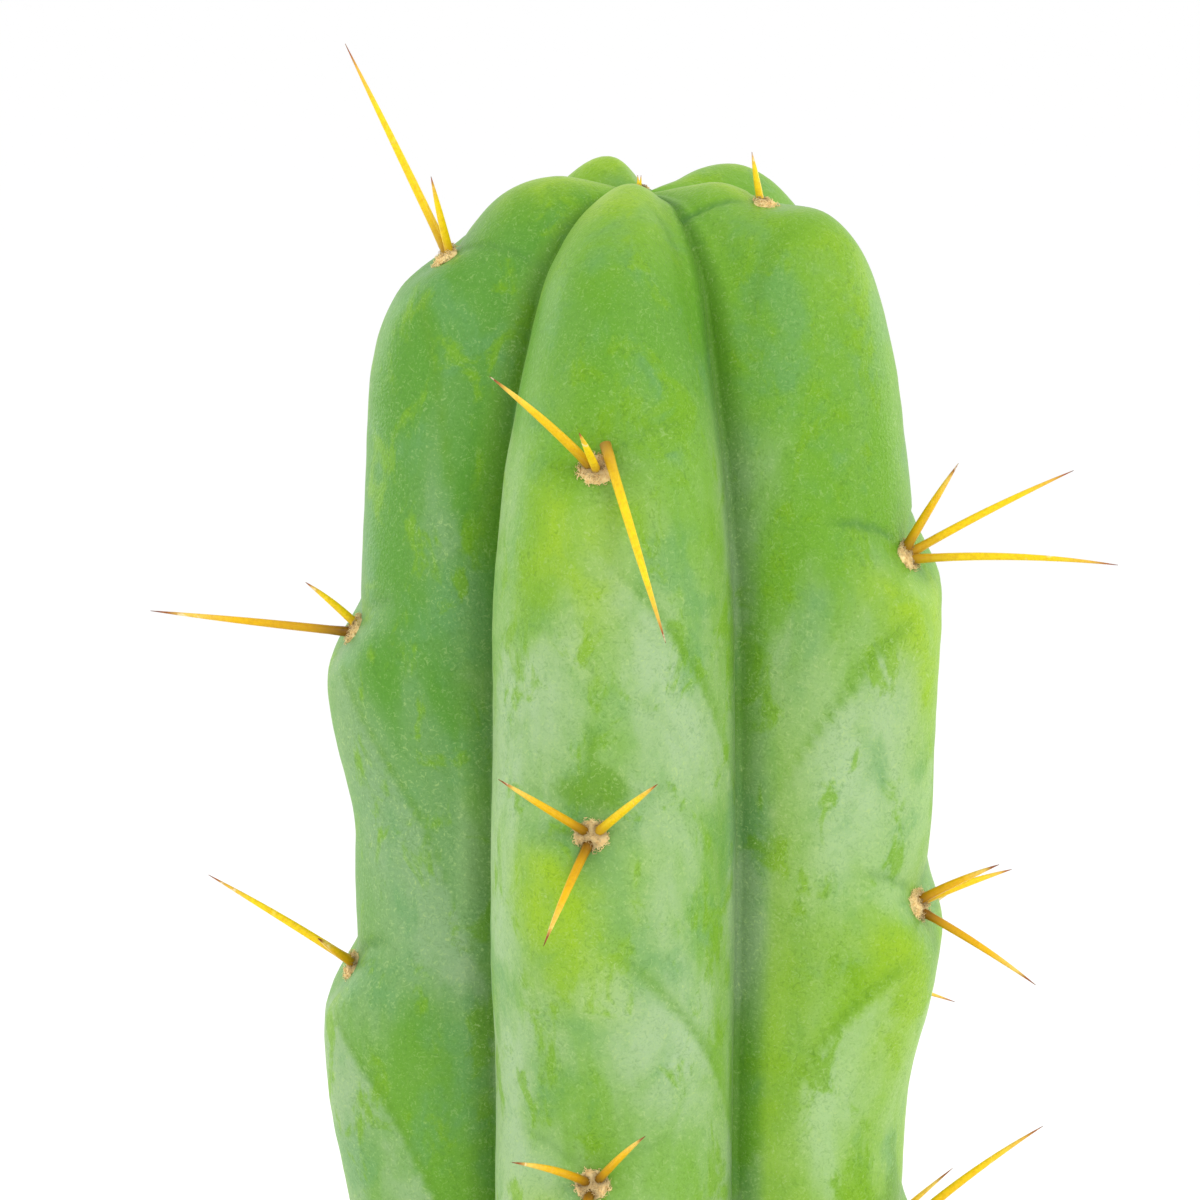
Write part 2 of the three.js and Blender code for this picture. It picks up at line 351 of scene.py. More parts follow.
CREST, CREST_ALONG, CREST_ARC = crest_line()
CREST_LENGTH = CREST_ARC[-1]
SOIL_ARC = CREST_ARC[(CREST[:, 1] <= SOIL_LEVEL) & (CREST_ARC > STEM_RADIUS)][0]
HALF_RIB = math.radians(RIB_ANGLE / 2)
FURROW_LOBE = HALF_RIB + math.asin((1 - LOBE_SHARE) * math.sin(HALF_RIB) / LOBE_SHARE)


def crest_at(arc):
    """Radius and height of the crest at an arc, and its direction there as an outward and an upward part."""
    radius = np.interp(arc, CREST_ARC, CREST[:, 0])
    height = np.interp(arc, CREST_ARC, CREST[:, 1])
    out = np.interp(arc, CREST_ARC, CREST_ALONG[:, 0])
    rise = np.interp(arc, CREST_ARC, CREST_ALONG[:, 1])
    return radius, height, out, rise


def brow_rise(aside):
    """How far above its areole a rib's step starts, at a distance aside from the crest."""
    return BROW_RISE * aside ** 2 / (aside ** 2 + 36)


def areole_arc(rib, number):
    """Arc from the crown's centre to an areole, counted from 0."""
    return FIRST_AREOLE[rib] + number * SPACING - np.where(number > 0, 0, YOUNG_LEAD)


def areole_phase(rib, arc):
    """Number of the areole that a point of the rib lies below, and the share of the way to the next."""
    cycle = (arc - FIRST_AREOLE[rib]) / SPACING
    number = np.floor(cycle - CHIN_START)
    youngest = (number < 0) & (arc >= areole_arc(rib, 0) + CHIN_START * SPACING)
    number = np.where(youngest, 0, number)
    start = areole_arc(rib, number)
    return number, (arc - start) / (areole_arc(rib, number + 1) - start)


def chin_at(rib, arc, aside):
    """How far the chin that swells below an areole stands out."""
    number, phase = areole_phase(rib, arc + brow_rise(aside))
    end = CHIN_END[rib, np.clip(number, 0, 3).astype(int)]
    step = smoothstep(phase, CHIN_START, CHIN_PEAK)
    back = 1 - smoothstep(phase, CHIN_PEAK, end)
    grown = smoothstep(areole_arc(rib, number), -14, 55)
    buried = smoothstep(arc, SOIL_ARC - LOWEST_AREOLE * 0.4, SOIL_ARC)
    return CHIN * CHIN_GAIN[rib] * step * back * grown * (1 - buried)


def swell_at(rib, arc):
    return sum(out * bell(arc - place, half) * (rib == own) for own, place, out, half in SWELLS)


def front_squeeze(turn, arc):
    """The turn by which the front rib is narrower over the crown, and its neighbours wider."""
    pitch = math.radians(RIB_ANGLE)
    beside = (turn + math.pi) % (2 * math.pi) - math.pi
    wave = np.sin(math.pi * np.clip(beside / pitch, -1, 1))
    return math.radians(FRONT_SQUEEZE) * wave * smoothstep(arc, 0, 14) * (1 - smoothstep(arc, 30, 78))


def skin(rib, lobe_angle, arc):
    """Points of the skin before its fine relief, and how far aside from the crest each lies.

    The last value goes from 0 in the furrow to 1 on the crest.
    """
    radius, height, out, rise = crest_at(arc)
    centre = radius * (1 - LOBE_SHARE)
    lobe = radius * LOBE_SHARE
    angle = np.arctan2(LOBE_SHARE * np.sin(lobe_angle), (1 - LOBE_SHARE) + LOBE_SHARE * np.cos(lobe_angle))
    aside = np.abs(lobe_angle) * np.maximum(lobe, 1)
    ridge = np.cos(angle / math.radians(RIB_ANGLE) * math.pi) ** 2
    reach = centre * np.cos(angle) + np.sqrt(np.maximum(lobe ** 2 - (centre * np.sin(angle)) ** 2, 0))
    swell = (chin_at(rib, arc, aside) + swell_at(rib, arc)) * ridge + reach - radius
    from_axis = np.maximum(radius - rise * swell, 0)
    turn = np.radians(rib * RIB_ANGLE) + angle
    azimuth = math.radians(FRONT_AZIMUTH) + turn - front_squeeze(turn, arc)
    return round_axis(azimuth, from_axis, height + out * swell), aside, ridge


def stem_arcs():
    """Arcs of the skin's rows of points, close together where the plant is seen from near."""
    fine_end = 180
    fine = np.arange(1.2, fine_end, 0.8)
    middle = np.arange(fine_end, SOIL_ARC + 2, 1.6)
    buried = np.arange(SOIL_ARC + 6, CREST_LENGTH - 4, 6)
    return np.concatenate([fine, middle, buried])


def shuffled(rib, number):
    """A share from 0 to 1 that differs from areole to areole, and is 1 near the crown of the front ribs."""
    in_front = (np.minimum(rib, len(RIBS) - rib) < 2) & (number < 3)
    return np.where(in_front, 1, scatter(rib * 12.9 + number * 78.2))


def spade_mask(side, over):
    """The dome with a fine tip that lies over an areole, in distances aside and up."""
    half = SPADE_HALF * smoothstep(12 - over, 0, 9)
    dome = smoothstep(half - np.abs(side), -0.6, 0.8) * smoothstep(over, 2.4, 4)
    tip = 0.8 * bell(side, 0.6) * smoothstep(over, 2, 6) * (1 - smoothstep(over, 11, 16))
    return np.clip(dome + tip, 0, 1)


class SkinGrid:
    """The skin's points in rows from the crown to the foot, and where each lies among the areoles."""

    def __init__(self):
        arcs = stem_arcs()
        self.rows = len(arcs)
        self.columns = len(RIBS) * RIB_COLUMNS
        lobe_step = 2 * FURROW_LOBE / RIB_COLUMNS
        lobe_angles = np.tile(-FURROW_LOBE + lobe_step * np.arange(RIB_COLUMNS), len(RIBS))
        self.arc, lobe_angle = np.meshgrid(arcs, lobe_angles, indexing="ij")
        self.rib = np.meshgrid(arcs, np.repeat(np.arange(len(RIBS)), RIB_COLUMNS), indexing="ij")[1]
        self.points, self.aside, self.ridge = skin(self.rib, lobe_angle, self.arc)
        self.side = self.aside * np.sign(lobe_angle)
        # The areole that each point lies below, and the distances from it and from the next one
        self.place = self.arc + brow_rise(self.aside)
        self.number = areole_phase(self.rib, self.place)[0]
        self.below = self.place - areole_arc(self.rib, self.number)
        self.over = areole_arc(self.rib, self.number + 1) - self.place
        self.young = 1 - smoothstep(self.arc, 15, 85)
        self.uneven = waves(self.points, 34, 1)
        self.blotch = waves(self.points * [1, 1, 0.6], 13, 2)
        self.speck = waves(self.points, 5, 3)

    def outward(self):
        """Unit normals of the skin. One sign for all keeps them outward where the skin overhangs."""
        normal = np.cross(np.gradient(self.points, axis=0), np.gradient(self.points, axis=1))
        normal /= np.maximum(np.linalg.norm(normal, axis=-1, keepdims=True), 1e-9)
        return normal * np.sign(np.sum(normal[..., :2] * self.points[..., :2]))


def brow_crease(at):
    """A fine crease that leaves the areole's top and runs aside over the step, and the painted shade that
    darkens the skin along it.
    """
    nearest = np.minimum(np.abs(at.below + 2.2), np.abs(at.over - 2.2))
    reach = smoothstep(at.aside, 1.0, 3) * (1 - smoothstep(at.aside, 7 + 3 * at.young, 12 + 8 * at.young))
    nearer = at.number + (at.over < at.below)
    strength = np.where(at.rib == FRONT, 0.25, 0.4 + 0.6 * shuffled(at.rib, nearer + 3))
    return bell(nearest, 0.6) * reach * strength


def seams_panels_and_highlight(at):
    """Seams that run from below each areole down and aside to the furrow, and pale panels below them.

    A panel of bloom starts at its seam and fades further down, and faint veins run along it. The panels also
    hold a painted highlight along the front rib's left edge.
    """
    seams = np.zeros_like(at.arc)
    panel_and_highlight = np.zeros_like(at.arc)
    reach = smoothstep(at.aside, 2, 7) * smoothstep(at.ridge, 0.02, 0.25)
    fall = SEAM_START[at.rib] + SEAM_SLOPE[at.rib] * at.aside + 0.015 * at.aside ** 2
    fall = fall + 1.2 * at.uneven + 0.4 * at.blotch
    width = np.where(at.side < 0, SEAM_WIDTH[at.rib, 0], SEAM_WIDTH[at.rib, 1])
    for back in range(3):
        areole = at.number - back
        gap = at.place - areole_arc(at.rib, areole) - fall
        strength = np.where(areole < 3, 0.9, 0.5 + 0.5 * shuffled(at.rib, areole)) * (areole >= 0)
        seams = np.maximum(seams, strength * bell(gap + 0.7, 1.1) * reach * 1.6 / width)
        fade = 1 - smoothstep(gap, 6, 28)
        veins = bell((gap + 2 * at.blotch) % 8.5 - 4.2, 0.7) * smoothstep(gap, 0, 4) * fade
        seams = np.maximum(seams, 0.4 * strength * veins * reach * smoothstep(at.blotch, -0.8, 0.6))
        panel_and_highlight = np.maximum(panel_and_highlight, strength * smoothstep(gap, -0.8, width) * fade)
    # The front rib is paler all over below its young part, palest along its left edge, where the paleness is
    # a painted highlight
    front = at.rib == FRONT
    panel_and_highlight = panel_and_highlight * smoothstep(at.arc, 40, 80)
    panel_and_highlight = np.maximum(panel_and_highlight, 0.3 * front * smoothstep(at.arc, 60, 90))
    panel_and_highlight = np.maximum(panel_and_highlight, 0.95 * front * smoothstep(-at.side, 7, 13) * smoothstep(at.arc, 30, 60))
    return seams, panel_and_highlight


def lime_flesh(at):
    """Lime patches on the crests below each areole and over the crown."""
    patch = 1.2 * bell(at.side + 2.5 + 2.5 * at.blotch, 7.5)
    patch = patch * smoothstep(at.below, 1, 7) * (1 - smoothstep(at.below, 10, 34))
    patch = patch * (at.number >= 0) * (1 - 0.55 * at.young) * np.where(at.rib == LEFT, 0.3, 1)
    crown = np.where(at.rib == FRONT, 2.4, 1.2) * bell(at.arc - 10, 10) * at.ridge
    lime = patch + crown
    return np.clip(lime * (0.5 + 0.5 * shuffled(at.rib, at.number + 7)) + 0.25 * at.blotch * lime, 0, 1)


def spades(at):
    """The dark spades over two areoles of three, below the young part."""
    spade = spade_mask(at.side + 0.6 * at.speck, at.over) * smoothstep(at.arc, 60, 90)
    return spade * ((at.number + at.rib) % 3 != 2)


def green_tone_and_painted_light(at):
    """Where each point's green lies, from the deepest, 0, to the lightest, 1, with whole ribs made lighter
    or darker as painted light and shade.
    """
    lean = RIB_PAINTED_LIGHT[at.rib] * smoothstep(at.ridge, 0, 0.1)
    lean = lean * (1 - 0.75 * smoothstep(at.arc, 100, 150) * (at.rib == LEFT))
    lean = lean * np.where(at.rib == RIGHT, smoothstep(at.arc, 65, 130), 1)
    return 0.5 + lean - 0.35 * (at.rib == FRONT) * bell(at.arc - 36, 11)


def cork_mask(at):
    """The cork that covers the foot of the stem, up to a ragged edge."""
    edge = SOIL_LEVEL + CORK_HEIGHT + 12 * at.uneven + 6 * at.blotch + 3 * at.speck
    return 1 - smoothstep(at.points[..., 2], edge - 9, edge + 9)


def fine_relief(at, brow, seams, panel_and_highlight, cork):
    """How far the skin stands out of its plain shape, fading out round each areole."""
    open_skin = smoothstep(at.ridge, 0, 0.12)
    relief = 0.45 * at.uneven * open_skin
    relief += 0.12 * at.blotch * open_skin + 0.035 * at.speck
    relief -= (0.45 + 0.35 * at.young) * brow + 0.1 * seams
    relief += 0.07 * panel_and_highlight * open_skin
    relief += cork * (0.25 * waves(at.points * [1, 1, 2.5], 4, 5) - 0.25)
    return relief * (1 - bell(np.hypot(at.aside, np.minimum(np.abs(at.below), np.abs(at.over))), 5))


def with_ends(values, crown, foot):
    return np.concatenate([values.ravel(), [crown, foot]])


def make_stem(material):
    at = SkinGrid()
    brow = brow_crease(at)
    seams, panel_and_highlight = seams_panels_and_highlight(at)
    lime = lime_flesh(at)
    panel_and_highlight = panel_and_highlight * (1 - 0.7 * lime)
    cork = cork_mask(at)
    relief = fine_relief(at, brow, seams, panel_and_highlight, cork)
    points = at.points + at.outward() * relief[..., None]
    crown = np.array([[0, 0, CROWN_TOP - CROWN_DIP - 0.6]])
    foot = np.array([[0, 0, SOIL_LEVEL - BURIED]])
    tints = np.stack([
        with_ends(lime, 0.6, 0),
        with_ends(panel_and_highlight, 0, 0),
        # The seams' channel also carries the brow creases, for painted shade in them
        with_ends(np.clip(seams + brow, 0, 1), 0, 0),
        with_ends(spades(at), 0, 0),
    ], axis=-1)
    ages = np.stack([
        with_ends(cork, 0, 1),
        with_ends(at.young, 1, 0),
        with_ends(at.ridge, 1, 1),
        # The brow creases again, for the painted shade in them
        with_ends(brow, 0, 0),
    ], axis=-1)
    # The tone attribute holds the green's depth together with the painted light and shade of whole ribs
    layers = {"tints": tints, "ages": ages, "tone": with_ends(green_tone_and_painted_light(at), 0.5, 0.5)}
    flat = np.concatenate([points.reshape(-1, 3), crown, foot])
    # The rows run downward, so the faces are turned over
    faces = [(start, *others[::-1]) for start, *others in ring_faces(at.rows, at.columns)]
    piece = mesh_object("stem_skin", flat, faces, [material], None, layers)
    keep(piece, "skin", "stem")


# ---- Areoles: felt and spines ----

def areole_arcs(rib):
    arcs = areole_arc(rib, np.arange(20))
    return arcs[arcs <= SOIL_ARC - LOWEST_AREOLE]


def areole_seat(rib, arc):
    """Where an areole sits, the way it faces, its rib's azimuth and its share of the full size."""
    point = skin(np.array(rib), np.array(0.0), np.array(arc))[0]
    out, rise = crest_at(arc)[2:]
    lift = math.atan2(out, -rise) + math.radians(AREOLE_TILT) * float(smoothstep(arc, 0, 65))
    azimuth = math.radians(FRONT_AZIMUTH + rib * RIB_ANGLE)
    size = 0.45 + 0.55 * float(smoothstep(arc, 0, 32))
    return point, direction(azimuth, lift), azimuth, size


def spines_for(rib, number):
    """An areole's spines as SPINES lists them, or else after one of the habits, each a little changed."""
    listed = SPINES.get(f"{RIBS[rib]}_{number}")
    if listed:
        return listed
    rows = []
    for spine, (length, turn, lift) in enumerate(HABITS[(rib * 3 + number) % len(HABITS)]):
        change = 2 * float(scatter(rib * 12.9 + number * 78.2 + spine * 37.7)) - 1
        rows.append([length * (1 + 0.15 * change), turn - 7 * change, lift + 5 * change])
    return rows


def add_spine(parts, root, tip, age, tone):
    """A slightly bent spine that tapers to a point and starts below the felt."""
    length = np.linalg.norm(tip - root)
    way = (tip - root) / length
    radius = SPINE_RADIUS * math.sqrt(min(1, length / 9)) * rng.uniform(0.92, 1.08)
    side, up = across_from(way)
    bow = (side * rng.uniform(-0.02, 0.02) + up * rng.uniform(-0.008, 0.03)) * length
    share = np.linspace(0, 1, 15)
    start = root - way * 1.2
    line = start + (tip - start) * share[:, None] + bow * (4 * share * (1 - share))[:, None]
    taper = (1 - share ** 2.2) ** 0.8 * (1 + 0.22 * bell(share - 0.03, 0.06))
    points, faces, along = tube(line, np.maximum(radius * taper, 0.035), 12)
    parts.add(points, faces, SPINE_LOOK, along=along, tone=tone, age=age, dark=0.0)


def add_hair(parts, root, way, length, curl, tone, dark):
    """A curled strand of wool."""
    side, up = across_from(way)
    share = np.linspace(0, 1, 6)[:, None]
    start = rng.uniform(0, 2 * math.pi)
    turns = rng.uniform(4, 9)
    wind = side * np.cos(start + turns * share) + up * np.sin(start + turns * share)
    line = root + way * length * share + wind * curl * share
    radii = np.array([0.06, 0.065, 0.06, 0.055, 0.04, 0.015])
    points, faces, along = tube(line, radii, 3)
    parts.add(points, faces, FELT_LOOK, along=along, tone=tone, age=0.0, dark=dark)


def felt_dome(axis, centre, size, roots):
    """A low closed cushion under the wool, and how near each of its points is to a spine's root."""
    turns = 24
    rises = 8
    side, up = across_from(axis)
    angle = np.arange(turns) * 2 * math.pi / turns
    climb = np.linspace(-0.9, math.pi / 2, rises, endpoint=False)
    circle = np.cos(angle)[:, None] * side + np.sin(angle)[:, None] * up * FELT_SQUASH
    rings = [circle * math.cos(c) * FELT_RADIUS * 0.9 + axis * math.sin(c) * 0.95 for c in climb]
    shape = np.concatenate(rings + [[axis * -1.2], [axis * 0.8]]) * size
    lumps = 1 + 0.08 * waves(shape + centre, 1.1, 7)
    points = centre + shape * lumps[:, None]
    gaps = np.min([np.linalg.norm(points - root, axis=1) for root in roots], axis=0)
    return points, ring_faces(rises, turns), 0.9 * bell(gaps, 1.1)


def add_wool(parts, point, axis, size, roots):
    """Curled strands all over the felt, dark where they stand close to a spine's root."""
    side, up = across_from(axis)
    for _ in range(int(WOOL_STRANDS * size)):
        angle = rng.uniform(0, 2 * math.pi)
        share = math.sqrt(rng.uniform(0.02, 1))
        flat = side * math.cos(angle) + up * math.sin(angle) * FELT_SQUASH
        rise = 0.75 * size * math.sqrt(1 - 0.9 * share ** 2) - 0.05
        root = point + flat * share * FELT_RADIUS * 0.92 * size + axis * rise
        gap = min(np.linalg.norm(root - spine) for spine in roots)
        way = axis * rng.uniform(0.1, 0.9) + flat * share * 0.5 + rng.normal(size=3) * 0.55
        way /= np.linalg.norm(way)
        length = rng.uniform(0.25, 0.75) * size
        curl = rng.uniform(0.2, 0.5) * size
        tone = rng.uniform(0, 1)
        add_hair(parts, root, way, length, curl, tone, 0.95 * math.exp(-(gap / 0.95) ** 2))


def make_cluster(rib, number, arc, materials):
    """An areole: its spines, the felt cushion that they grow from, and its wool."""
    name = f"{RIBS[rib]}_{number}"
    point, axis, azimuth, size = areole_seat(rib, arc)
    side, up = across_from(axis)
    age = float(smoothstep(arc, AGEING_ARC, SOIL_ARC - 40))
    moved = ROOTS.get(name, {})
    parts = Parts()
    roots = []
    for spine, (length, turn, lift) in enumerate(spines_for(rib, number)):
        way = direction(azimuth + math.radians(turn), math.radians(lift))
        flat = way - axis * (way @ axis)
        root = point + (axis * 0.6 + flat * 1.9) * size
        if spine in moved:
            root = point + side * moved[spine][0] + up * moved[spine][1] + axis * moved[spine][2]
        tip = point + axis * 0.85 * size + way * length
        # Young spines are plain yellow, older ones anything from amber to yellow
        tone = 1.0 if spine in moved or number == 1 else rng.uniform(0.25, 1)
        add_spine(parts, root, tip, age, tone)
        roots.append(root)
    points, faces, dark = felt_dome(axis, point - axis * 0.1, size, roots)
    parts.add(points, faces, FELT_LOOK, along=0.0, tone=0.5, age=age, dark=dark)
    add_wool(parts, point, axis, size, roots)
    piece = parts.build("areole_" + name, materials)
    keep(piece, "spine", "spines_" + name)


# ---- Pot ----

def arc_points(centre, radius, start, end, count):
    angles = np.radians(np.linspace(start, end, count))
    return [(centre[0] + radius * math.cos(a), centre[1] + radius * math.sin(a)) for a in angles]


def straight(start, end, count):
    """The points between two ends."""
    share = np.linspace(0, 1, count)[1:-1]
    return [tuple(np.array(start) * (1 - s) + np.array(end) * s) for s in share]


def inside_radius(height):
    return FOOT_RADIUS + (RIM_RADIUS - BAND_PROUD - FOOT_RADIUS) * height / POT_HEIGHT - WALL


def pot_profile():
    """The pot's section as [radius, height], from the drain hole outwards, up, over the rim and back."""
    hole = DRAIN_RADIUS + HOLE_ROUND
    band = POT_HEIGHT - BAND_HEIGHT
    under = inside_radius(band) + WALL
    inner = RIM_RADIUS - BAND_PROUD - WALL
    lip = POT_HEIGHT - RIM_ROUND
    corner = FLOOR + CORNER_ROUND
    flat_end = inside_radius(corner) - CORNER_ROUND
    line = [(hole, 0)]
    line += straight((hole, 0), (FOOT_RADIUS - EDGE_ROUND, 0), 8)
    line += arc_points((FOOT_RADIUS - EDGE_ROUND, EDGE_ROUND), EDGE_ROUND, -90, -8, 6)
    line += straight((FOOT_RADIUS, EDGE_ROUND), (under, band), 40)
    line += arc_points((under + NECK_ROUND, band - NECK_ROUND), NECK_ROUND, 180, 100, 4)
    line += arc_points((RIM_RADIUS - EDGE_ROUND, band + EDGE_ROUND), EDGE_ROUND, -85, 0, 6)
    line += straight((RIM_RADIUS, band + EDGE_ROUND), (RIM_RADIUS - 0.2, lip), 9)
    line += arc_points((RIM_RADIUS - RIM_ROUND, lip), RIM_ROUND, 0, 90, 8)
    line += arc_points((inner + RIM_ROUND, lip), RIM_ROUND, 90, 180, 8)
    line += straight((inner, lip), (inside_radius(corner), corner), 30)
    line += arc_points((flat_end, corner), CORNER_ROUND, 0, -90, 5)
    line += straight((flat_end, FLOOR), (hole, FLOOR), 6)
    line += arc_points((hole, FLOOR - HOLE_ROUND), HOLE_ROUND, 90, 180, 4)
    line += arc_points((hole, HOLE_ROUND), HOLE_ROUND, 180, 260, 4)
    return np.array(line)


def make_pot(material):
    profile = pot_profile()
    turns = 144
    angle = np.arange(turns) * 2 * math.pi / turns
    points = np.empty((turns, len(profile), 3))
    points[..., 0] = np.cos(angle)[:, None] * profile[:, 0]
    points[..., 1] = np.sin(angle)[:, None] * profile[:, 0]
    points[..., 2] = profile[:, 1]
    # Slight throwing marks and hand-made unevenness, none of it on the foot
    height = points[..., 2]
    lift = smoothstep(height, 1.5, 8)
    marks = 0.1 * np.sin(height * 1.9 + 0.6 * np.sin(angle)[:, None]) + 0.22 * waves(points, 60, 11)
    scale = 1 - (0.25 - marks * lift)[..., None] * [1, 1, 0] / np.maximum(profile[:, 0], 20)[None, :, None]
    points = points * np.where(height[..., None] > 1, scale, 1)
    faces = []
    count = len(profile)
    for turn in range(turns):
        here = turn * count
        beside = (turn + 1) % turns * count
        for k in range(count):
            after = (k + 1) % count
            faces.append((here + k, beside + k, beside + after, here + after))
    piece = mesh_object("clay_pot", points.reshape(-1, 3), faces, [material])
    keep(piece, "clay", "pot")


# ---- Soil and grit ----

def stem_outline(azimuth, arc, grow):
    """Distance of the skin from the axis, at an azimuth in radians."""
    pitch = math.radians(RIB_ANGLE)
    angle = (azimuth - math.radians(FRONT_AZIMUTH) + pitch / 2) % pitch - pitch / 2
    radius = crest_at(arc)[0]
    centre = radius * (1 - LOBE_SHARE)
    lobe = radius * LOBE_SHARE + grow
    return centre * np.cos(angle) + np.sqrt(np.maximum(lobe ** 2 - (centre * np.sin(angle)) ** 2, 0))


def soil_top(place):
    """Height of the soil's surface before its crumbs, at places of height 0."""
    reach = np.hypot(place[..., 0], place[..., 1])
    share = smoothstep(inside_radius(SOIL_LEVEL) - reach, 0, 40)
    return SOIL_LEVEL - 1.2 + SOIL_MOUND * share + 0.7 * waves(place, 24, 21)


def make_soil(material):
    """A closed bed: up from the socket of the stem's foot, over the surface and down inside the pot."""
    turns = 240
    steps = 44
    azimuth = np.arange(turns) * 2 * math.pi / turns
    inner = stem_outline(azimuth, SOIL_ARC - 2, CLEARANCE)
    outer = inside_radius(SOIL_LEVEL) - SOIL_GAP
    share = np.linspace(0, 1, steps)
    reach = inner[:, None] + (outer - inner[:, None]) * share
    place = round_axis(azimuth[:, None], reach, 0)
    top = soil_top(place) + 0.4 * waves(place, 6, 22) + 0.35 * waves(place, 2.6, 23)
    rows = [round_axis(azimuth, reach[:, k], top[:, k]) for k in range(steps)]
    bottom = FLOOR + CLEARANCE
    for height in np.linspace(SOIL_LEVEL - 6, bottom + 5, 6):
        rows.append(round_axis(azimuth, inside_radius(height) - SOIL_GAP, height))
    rows.append(round_axis(azimuth, inside_radius(bottom + 5) - 5, bottom))
    rows.append(round_axis(azimuth, 20, bottom))
    hollow = []
    for arc in np.linspace(CREST_LENGTH - 5, SOIL_ARC + 6, 8):
        height = crest_at(arc)[1] - CLEARANCE
        hollow.append(round_axis(azimuth, stem_outline(azimuth, arc, CLEARANCE), height))
    shell = hollow + rows
    points = np.concatenate(shell + [[[0, 0, SOIL_LEVEL - BURIED - CLEARANCE]], [[0, 0, bottom]]])
    piece = mesh_object("soil_bed", points, ring_faces(len(shell), turns), [material])
    keep(piece, "soil", "soil")


def ball_shape():
    """The corners and faces of a once-split icosahedron of radius 1."""
    golden = (1 + math.sqrt(5)) / 2
    rectangle = [(-1, golden, 0), (1, golden, 0), (-1, -golden, 0), (1, -golden, 0)]
    corners = [np.roll(corner, shift) for shift in range(3) for corner in rectangle]
    sides = [(0, 11, 5), (0, 5, 1), (0, 1, 7), (0, 7, 10), (0, 10, 11), (1, 5, 9), (5, 11, 4),
             (11, 10, 2), (10, 7, 6), (7, 1, 8), (3, 9, 4), (3, 4, 2), (3, 2, 6), (3, 6, 8),
             (3, 8, 9), (4, 9, 5), (2, 4, 11), (6, 2, 10), (8, 6, 7), (9, 8, 1)]
    points = [corner / np.linalg.norm(corner) for corner in corners]
    middles = {}

    def middle(a, b):
        key = (min(a, b), max(a, b))
        if key not in middles:
            point = points[a] + points[b]
            middles[key] = len(points)
            points.append(point / np.linalg.norm(point))
        return middles[key]

    faces = []
    for a, b, c in sides:
        ab, bc, ca = middle(a, b), middle(b, c), middle(c, a)
        faces += [(a, ab, ca), (b, bc, ab), (c, ca, bc), (ab, bc, ca)]
    return np.array(points), faces


def make_grit(material):
    """Loose grains on the soil, the large ones placed first, none where one lies already."""
    ball, sides = ball_shape()
    parts = Parts()
    outer = inside_radius(SOIL_LEVEL) - CLEARANCE
    placed = np.empty((0, 3))
    for size in sorted(rng.gamma(6, 0.23, GRAINS_TRIED), reverse=True):
        azimuth = rng.uniform(0, 2 * math.pi)
        inner = float(stem_outline(azimuth, SOIL_ARC - 2, CLEARANCE)) + size * 0.9
        reach = math.sqrt(rng.uniform(inner ** 2, (outer - size * 1.1) ** 2))
        x = math.sin(azimuth) * reach
        y = -math.cos(azimuth) * reach
        gaps = np.hypot(placed[:, 0] - x, placed[:, 1] - y)
        if np.any(gaps < (placed[:, 2] + size) * 0.72):
            continue
        placed = np.vstack([placed, [x, y, size]])
        squash = rng.uniform(0.65, 1.15, 3) * size
        angular = 1 + 0.16 * rng.normal(size=(len(ball), 1)).clip(-1.5, 1.5)
        turn = np.linalg.qr(rng.normal(size=(3, 3)))[0]
        if np.linalg.det(turn) < 0:
            turn[:, 0] *= -1
        shape = (ball * angular * squash) @ turn.T
        top = soil_top(np.array([x, y, 0]))
        centre = np.array([x, y, top + size * rng.uniform(-0.1, 0.45)])
        parts.add(shape + centre, sides, 0, tone=rng.uniform(0, 1))
    piece = parts.build("soil_grit", [material], smooth=False)
    keep(piece, "soil")


# ---- Materials ----

def add_node(tree, kind, inputs=None, **settings):
    node = tree.nodes.new(kind)
    for key, value in settings.items():
        setattr(node, key, value)
    for key, value in (inputs or {}).items():
        socket = node.inputs[key]
        if isinstance(value, bpy.types.NodeSocket):
            tree.links.new(value, socket)
        else:
            socket.default_value = value
    return node


